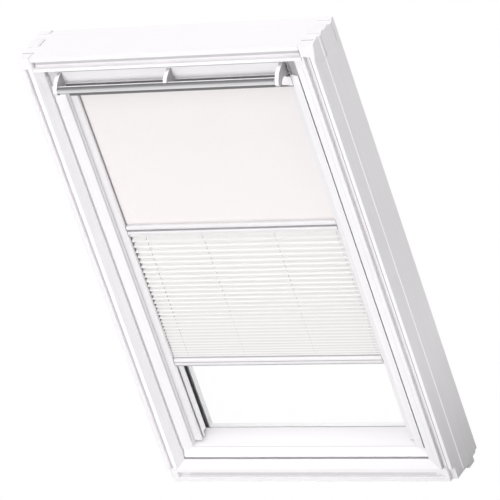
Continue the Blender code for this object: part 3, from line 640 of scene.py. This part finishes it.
# Pleated cloth: crisp folds that open towards the top, with a cord hole through every facet
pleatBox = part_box("pleated_cloth")
pleatedCloth = {
    "folds": 32,
    "droop": 2.4,
    "depth": 0.0142,
    "lead": 0.0037,
    "crease": 0.04,
    "step": 0.012,
    "columns": (-0.2424, -0.0873, 0.1034, 0.269),
    "panel": 0.010,
    "holeWidth": 0.0036,
    "holeDeep": 0.30,
    "holeShare": 0.62,
    "holeSteps": 3,
    "wave": 0.00012,
    "waveTurns": (23, 0.8),
    "travel": 0.27,
}
foldCord = {
    "radius": 0.0005,
    "sides": 8,
    "steps": 60,
    "twist": 0.12,
    "lay": 4000,
}


def foldHeights(cloth):
    span = pleatBox[1].z - pleatBox[0].z - cloth["lead"]
    last = cloth["folds"] - 1
    weights = [cloth["droop"] + (1 - cloth["droop"]) * n / last for n in range(cloth["folds"])]
    return [span * weight / sum(weights) for weight in weights]


def creaseLine(cloth):
    low, high = pleatBox
    middle = (low.y + high.y) / 2
    pitches = foldHeights(cloth)
    fold = math.hypot(cloth["depth"], pitches[-1] / 2)
    level = high.z
    line = [(middle, level)]
    level -= cloth["lead"]
    for pitch in pitches:
        depth = math.sqrt(fold ** 2 - (pitch / 2) ** 2) / 2
        line.append((middle - depth, level - pitch / 4))
        line.append((middle + depth, level - pitch * 3 / 4))
        level -= pitch
    line.append((middle, level))
    return line


def acrossStations(cloth):
    low, high = pleatBox
    edges = [low.x]
    for column in cloth["columns"]:
        edges += [column - cloth["panel"] / 2, column, column + cloth["panel"] / 2]
    edges.append(high.x)
    stations = []
    for a, b in zip(edges, edges[1:]):
        steps = max(1, round((b - a) / cloth["step"]))
        stations += [a + (b - a) * k / steps for k in range(steps)]
    return stations + [high.x]


def hangPleats(cloth, cord):
    low, high = pleatBox
    middle = (low.y + high.y) / 2
    line = creaseLine(cloth)
    stations = acrossStations(cloth)
    last = len(line) - 2
    waveAcross, waveDown = cloth["waveTurns"]
    sheet = bmesh.new()
    made = {}

    def point(k, share, x):
        (y0, z0), (y1, z1) = line[k], line[k + 1]
        swing = cloth["wave"] * math.sin(waveAcross * x + waveDown * k) * (1 if 0 < k < last else 0)
        z = z0 + (z1 - z0) * share + swing * (1 - abs(2 * share - 1))
        key = tuple(round(value, 7) for value in (x, y0 + (y1 - y0) * share, z))
        if key not in made:
            made[key] = sheet.verts.new(key)
        return made[key]

    def cutHole(k, near, far, corner, away):
        turn = 1 if far > near else -1
        side = 1 if away > corner else -1
        rim = []
        for step in range(cloth["holeSteps"] + 1):  # a quarter of the oval hole
            angle = math.pi / 2 * step / cloth["holeSteps"]
            up = turn * math.sin(angle) * cloth["holeDeep"] * cloth["holeShare"]
            rim.append(point(k, near + up, corner + side * math.cos(angle) * cloth["holeWidth"] / 2))
        outer = [point(k, near, away), point(k, far, away), point(k, far, corner)]
        sheet.faces.new([rim[0], rim[1], outer[1], outer[0]])
        sheet.faces.new([rim[1], rim[2], outer[1]])
        sheet.faces.new([rim[2], rim[3], outer[2], outer[1]])

    half, reach = 0.5, cloth["holeDeep"]
    shares = [0.0, cloth["crease"], half - reach, half, half + reach, 1 - cloth["crease"], 1.0]
    holes = set(cloth["columns"])
    for k in range(len(line) - 1):
        for x0, x1 in zip(stations, stations[1:]):
            for s0, s1 in zip(shares, shares[1:]):
                corner = x1 if x1 in holes else (x0 if x0 in holes else None)
                if corner is None or half not in (s0, s1) or k in (0, last):
                    spots = ((s0, x0), (s1, x0), (s1, x1), (s0, x1))
                    sheet.faces.new([point(k, share, x) for share, x in spots])
                    continue
                cutHole(k, half, s0 if s1 == half else s1, corner, x0 if corner == x1 else x1)
    bmesh.ops.recalc_face_normals(sheet, faces=sheet.faces)
    item = dressMesh("pleatSheet", closeSheet("pleatSheet", sheet), "pleatWeave")
    length = sum(math.dist(a, b) for a, b in zip(line, line[1:]))
    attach(item, "pleat_head")
    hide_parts("pleated_cloth")
    cords = [runCord(cord, n + 1, x, middle) for n, x in enumerate(cloth["columns"])]
    for piece in [item] + cords:
        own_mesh(piece)


def runCord(cord, number, column, middle):
    low, high = pleatBox
    points, sides, steps = [], cord["sides"], cord["steps"]
    for j in range(steps + 1):
        z = high.z + (low.z - high.z) * j / steps
        for a in range(sides):
            angle = 2 * math.pi * a / sides
            twist = 1 + cord["twist"] * math.sin(2 * angle + z * cord["lay"])
            points.append((column + cord["radius"] * twist * math.cos(angle),
                           middle + cord["radius"] * twist * math.sin(angle), z))
    faces = ringFaces(steps + 1, sides)
    faces.append(tuple(range(sides)))
    faces.append(tuple(steps * sides + a for a in reversed(range(sides))))
    item = addMesh(f"pleatCord{number}", points, faces, "cordYarn")
    item.data.shade_smooth()
    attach(item, "pleat_head")
    return item


hangPleats(pleatedCloth, foldCord)
print("pleats hung")


# Fine lines and liners that the photograph shows on the timber and the brackets
# Most of these lines and liners are painted shade or painted bounce light; the joint lines are real
def addBlocks(name, blocks, finish, body="frame", slot="white_paint"):
    points, faces = [], []
    corners = ((0, 1, 3, 2), (4, 6, 7, 5), (0, 4, 5, 1), (2, 3, 7, 6), (0, 2, 6, 4), (1, 5, 7, 3))
    for x, y, z in blocks:
        first = len(points)
        points += [(a, b, c) for a in sorted(x) for b in sorted(y) for c in sorted(z)]
        faces += [tuple(first + corner for corner in face) for face in corners]
    item = addMesh(name, points, faces, finish)
    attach(item, body)


face = -0.0625  # depth of the frame's room side


def behindFace(depths):
    return [face + depth for depth in depths]


jointLines = {
    "depths": (0.026, 0.055, 0.084, 0.112),
    "across": (0.3555, 0.3885),
    "top": 1.1780,
    "wide": 0.0020,
    "proud": 0.0002,
}


def drawJoints(joint):
    half, tall = joint["wide"] / 2, (joint["top"], joint["top"] + joint["proud"])
    blocks = []
    for side in (-1, 1):
        across = [side * edge for edge in joint["across"]]
        for y in behindFace(joint["depths"]):
            blocks.append((across, (y - half, y + half), tall))
    addBlocks("jointLines", blocks, "seamAndShadeGrey")


drawJoints(jointLines)

# Painted shade along the splays' creases and beside the right lip; the side beads glow as a painted
# highlight
edgeLines = {
    "crease": (0.3491, 0.3499),
    "creaseDeep": (0.0032, 0.0036),
    "creaseEnds": (0.062, 1.1205),
    "lip": (0.3781, 0.3799),
    "lipDeep": (-0.0001, 0.0004),
    "lipEnds": (0.034, 1.149),
    "bead": ((0.3889, 0.0435), (0.3901, 0.0460), (0.3889, 0.0461)),
    "beadEnds": (0.006, 1.1775),
}


def drawEdges(edge):
    deep = behindFace(edge["creaseDeep"])
    creases = [([side * x for x in edge["crease"]], deep, edge["creaseEnds"]) for side in (-1, 1)]
    addBlocks("creaseShadeLines", creases, "creaseShadeWhite")
    addBlocks("lipShadeLine", [(edge["lip"], behindFace(edge["lipDeep"]), edge["lipEnds"])], "seamAndShadeGrey")
    for side, label in ((-1, "Left"), (1, "Right")):
        points = [(side * x, face + d, z) for z in edge["beadEnds"] for x, d in edge["bead"]]
        faces = [(0, 2, 1), (3, 4, 5)] + ringFaces(2, 3)
        bead = addMesh("sideBead" + label, points, faces, "bounceGlowWhite")
        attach(bead, "frame")


drawEdges(edgeLines)

# Teeth of the finger joints along the upper side edges, as depth and height; they glow a little, a
# painted light that makes them lighter than the side face
cornerTeeth = {
    "across": (0.3901, 0.3904),
    "teeth": [
        [(-0.0624, 1.1795), (-0.0510, 1.1757), (-0.0540, 1.1622), (-0.0624, 1.1400)],
        [(-0.0624, 1.1795), (-0.0267, 1.1795), (-0.0506, 1.1755)],
        [(-0.0239, 1.1795), (-0.0106, 1.1738), (-0.0026, 1.1795)],
        [(0.0046, 1.1795), (0.0135, 1.1762), (0.0253, 1.1795)],
        [(0.0285, 1.1795), (0.0428, 1.1728), (0.0540, 1.1795)],
    ],
}


def drawTeeth(corner):
    for side, label in ((-1, "Left"), (1, "Right")):
        points, faces = [], []
        ends = [side * x for x in corner["across"]]
        for tooth in corner["teeth"]:
            first, count = len(points), len(tooth)
            points += [(x, y, z) for x in ends for y, z in tooth]
            faces.append(tuple(first + n for n in reversed(range(count))))
            faces.append(tuple(first + count + n for n in range(count)))
            faces += ringFaces(2, count, first)
        item = addMesh("cornerTeeth" + label, points, faces, "edgeGlowWhite")
        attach(item, "frame")


drawTeeth(cornerTeeth)

# Lining groove round the frame, with a dark end mark of painted shade at its upper right
grooveLiner = {
    "endShade": ((0.3534, 0.3556), (0.0040, 0.0126), (1.1510, 1.1675)),
    "floor": (0.0126, 0.0130),
    "wall": (0.3797, 0.3800),
    "wallDeep": (0.0004, 0.0048),
    "ledge": (0.0100, 0.0102),
    "ledgeDeep": (0.0006, 0.0126),
    "sideEnds": (0.034, 1.1488),
    "sideFloor": (-0.3790, -0.3650),
    "head": (-0.3555, 0.3555),
    "headFloor": (1.1492, 1.1537),
    "headShadeLine": (1.1540, 1.1600),
    "headLedge": (1.1490, 1.1491),
    "headLedgeDeep": (0.0070, 0.0125),
    "foot": (-0.3617, 0.3617),
    "footFloor": (0.0102, 0.0258),
}


def lineGrooves(liner):
    # Glowing strips paint bounce light on the left floor, the walls and the ledges; grey strips
    # paint shade on the foot floor and along the head floor
    floor, head, foot = behindFace(liner["floor"]), liner["head"], liner["foot"]
    wall, ends = behindFace(liner["wallDeep"]), liner["sideEnds"]
    shelf, ledge = behindFace(liner["headLedgeDeep"]), behindFace(liner["ledgeDeep"])
    walls = [([side * x for x in liner["wall"]], wall, ends) for side in (-1, 1)]
    across, deep, tall = liner["endShade"]
    addBlocks("grooveEndShade", [(across, behindFace(deep), tall)], "padGrey")
    addBlocks("headLiner", [(head, floor, liner["headFloor"])], "crossPaint")
    addBlocks("headShadeLine", [(head, floor, liner["headShadeLine"])], "headShadeGrey")
    addBlocks("headLedge", [(head, shelf, liner["headLedge"])], "bounceGlowWhite")
    addBlocks("sideGlowLiner", [(liner["sideFloor"], floor, ends)], "bounceGlowWhite")
    addBlocks("footShadeLiner", [(foot, floor, liner["footFloor"])], "paleGrey")
    addBlocks("grooveWallGlow", walls, "bounceGlowWhite")
    addBlocks("grooveLedgeGlow", [(foot, ledge, liner["ledge"])], "bounceGlowWhite")


lineGrooves(grooveLiner)

# Inner walls of the gap between frame and sash; the left and foot strips glow, a painted bounce
# light
reliefLiner = {
    "side": (0.3356, 0.3359),
    "sideEnds": (0.062, 1.1205),
    "deep": (0.0068, 0.030),
    "foot": (-0.3355, 0.3355),
    "footTall": (0.0571, 0.0574),
}


def lineRelief(liner):
    deep = behindFace(liner["deep"])
    sides = [[side * x for x in liner["side"]] for side in (-1, 1)]
    addBlocks("reliefLeftGlow", [(sides[0], deep, liner["sideEnds"])], "bounceGlowWhite")
    addBlocks("reliefRight", [(sides[1], deep, liner["sideEnds"])], "crossPaint")
    addBlocks("reliefFootGlow", [(liner["foot"], deep, liner["footTall"])], "gapGlowWhite")


lineRelief(reliefLiner)

# Single strips: across, depth, height, then finish, body and slot; two sides are mirrored
strips = {
    # painted shade along the inner sides of the sash stiles
    "stileShade": {
        "sides": (-1, 1),
        "block": ((0.3036, 0.3040), behindFace((0.0165, 0.0215)), (0.105, 1.060)),
        "worn": ("paleGrey", "sash", "white_paint"),
    },
    # painted shadow: a dark line under the head's inner lip, where its shadow falls
    "flapShadowLine": {
        "block": ((-0.300, 0.300), behindFace((0.0003, 0.004)), (1.1392, 1.1409)),
        "worn": ("padGrey", "frame", "white_paint"),
    },
    "footGlaze": {
        "block": ((-0.3010, 0.3010), (0.0085, 0.0096), (0.1049, 0.1062)),
        "worn": ("whiteCoat", "sash", "white_paint"),
    },
    # painted shade across the middle of the lower pleat bar
    "railMidShade": {
        "block": ((-0.2812, 0.2812), (-0.0329, -0.0325), (0.3194, 0.3212)),
        "worn": ("seamAndShadeGrey", "pleat_foot", "white_metal"),
    },
    # painted shade along the lower pleat bar's low edge
    "railLowShade": {
        "block": ((-0.2812, 0.2812), (-0.0318, -0.0310), (0.3096, 0.3108)),
        "worn": ("seamAndShadeGrey", "pleat_foot", "white_metal"),
    },
    # painted shade in the small groove along the sash sill's front edge
    "sillGrooveShade": {
        "block": ((-0.3025, 0.3025), behindFace((0.0173, 0.0186)), (0.0864, 0.0876)),
        "worn": ("seamAndShadeGrey", "sash", "white_paint"),
    },
}
for name, strip in strips.items():
    across, deep, tall = strip["block"]
    blocks = [([side * x for x in across], deep, tall) for side in strip.get("sides", (1,))]
    addBlocks(name, blocks, *strip["worn"])

# Painted shade: dark sheets on the right faces of the flap's brackets
bracketSideShade = {
    "facing": 0.9,
    "gap": 0.0001,
    "thick": 0.0004,
    "worn": {"bracket_left": "padGrey", "bracket_middle": "padGrey", "bracket_right": "seamAndShadeGrey"},
}


def shadeBracketSide(name, finish, size):
    source = nodes[name]
    pad = bmesh.new()
    pad.from_mesh(source.data)
    pad.transform(source.matrix_world)
    pad.normal_update()
    others = [f for f in pad.faces if f.normal.x < size["facing"]]
    bmesh.ops.delete(pad, geom=others, context="FACES")
    bmesh.ops.translate(pad, verts=pad.verts, vec=(size["gap"], 0, 0))
    grown = bmesh.ops.extrude_face_region(pad, geom=list(pad.faces))
    raised = [v for v in grown["geom"] if isinstance(v, bmesh.types.BMVert)]
    bmesh.ops.translate(pad, verts=raised, vec=(size["thick"], 0, 0))
    label = "pad" + name.split("_")[1].capitalize()
    item = dressMesh(label, closeSheet(label, pad), finish)
    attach(item, "flap")


for name, finish in bracketSideShade["worn"].items():
    shadeBracketSide(name, finish, bracketSideShade)

# White arms on the sash beside the flap's outer brackets, as depth and height; their paint glows a
# little, a painted light
shoulderArm = {
    "across": (0.3006, 0.3041),
    "outline": [
        (-0.0545, 1.0740), (-0.0700, 1.0845), (-0.0822, 1.0918), (-0.0848, 1.0950),
        (-0.0838, 1.0985), (-0.0790, 1.1030), (-0.0720, 1.1058), (-0.0665, 1.1056),
        (-0.0600, 1.1005), (-0.0545, 1.0972), (-0.0471, 1.0925), (-0.0471, 1.0690),
    ],
    "soft": 0.0007,
    "shrink": 0.95,
}


def drawArm(arm, side, label):
    outline, soft, shrink = arm["outline"], arm["soft"], arm["shrink"]
    count = len(outline)
    midY, midZ = sum(y for y, z in outline) / count, sum(z for y, z in outline) / count
    inside, outside = arm["across"]
    rings = ((inside, shrink), (inside + soft, 1.0), (outside - soft, 1.0), (outside, shrink))
    points = [(side * x, midY + (y - midY) * share, midZ + (z - midZ) * share)
              for x, share in rings for y, z in outline]
    faces = ringFaces(len(rings), count)
    faces.append(tuple(reversed(range(count))))
    faces.append(tuple((len(rings) - 1) * count + n for n in range(count)))
    item = addMesh("shoulderArm" + label, points, faces, "bounceGlowWhite")
    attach(item, "sash")


drawArm(shoulderArm, -1, "Left")
drawArm(shoulderArm, 1, "Right")

# Control bar with its rounded section
barSleeve = {
    "half": 0.2891,
    "centre": (-0.0865, 1.1056),
    "depth": 0.0180,
    "height": 0.0158,
    "square": 0.86,
    "steps": 48,
    "spans": 6,
    "rounding": 0.0008,
    "sharpAbove": 40,
}


def drawBar(bar):
    points, steps, spans = [], bar["steps"], bar["spans"]
    half, soft = bar["half"], bar["rounding"]
    stations = [(-half, soft), (-half + soft, 0.0)]
    stations += [(x * half / spans, 0.0) for x in range(1 - spans, spans)]
    stations += [(half - soft, 0.0), (half, soft)]
    for x, inset in stations:
        for n in range(steps):
            angle = 2 * math.pi * n / steps
            c, s = math.cos(angle), math.sin(angle)
            across = math.copysign(abs(c) ** bar["square"], c) * (bar["depth"] / 2 - inset)
            upward = math.copysign(abs(s) ** bar["square"], s) * (bar["height"] / 2 - inset)
            points.append((x, bar["centre"][0] + across, bar["centre"][1] + upward))
    faces = ringFaces(len(stations), steps)
    faces.append(tuple(reversed(range(steps))))
    faces.append(tuple((len(stations) - 1) * steps + n for n in range(steps)))
    item = addMesh("barSleeve", points, faces, "satinBar")
    item.data.shade_smooth()
    item.data.set_sharp_from_angle(angle=math.radians(bar["sharpAbove"]))
    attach(item, "flap")
    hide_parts("control_bar")


drawBar(barSleeve)
print("lines, liners, shades, arms and bar added")

# A pale floor that stays white under and behind the window
paleFloor = {
    "reach": 14,
    "height": -0.0105,
    "tone": (0.5, 0.5, 0.5, 1),
    "rough": 0.9,
}


def layFloor(floor):
    reach, height = floor["reach"], floor["height"]
    corners = [(x * reach, y * reach, height) for x, y in ((-1, -1), (1, -1), (1, 1), (-1, 1))]
    mesh = bpy.data.meshes.new("paleFloor")
    mesh.from_pydata(corners, [], [(0, 1, 2, 3)])
    item = addObject("paleFloor", mesh)
    material, tree, shader = newMaterial("paleFloor")
    feed(tree, shader, {"Base Color": floor["tone"], "Roughness": floor["rough"]})
    glow = addNode(tree, "ShaderNodeEmission", {"Strength": 1.0})
    rays = addNode(tree, "ShaderNodeLightPath").outputs
    seen = calculator(tree)("MAXIMUM", rays["Is Camera Ray"], rays["Is Transmission Ray"])
    showMixed(tree, seen, shader.outputs[0], glow.outputs[0])
    mesh.materials.append(material)


layFloor(paleFloor)
print("floor laid")
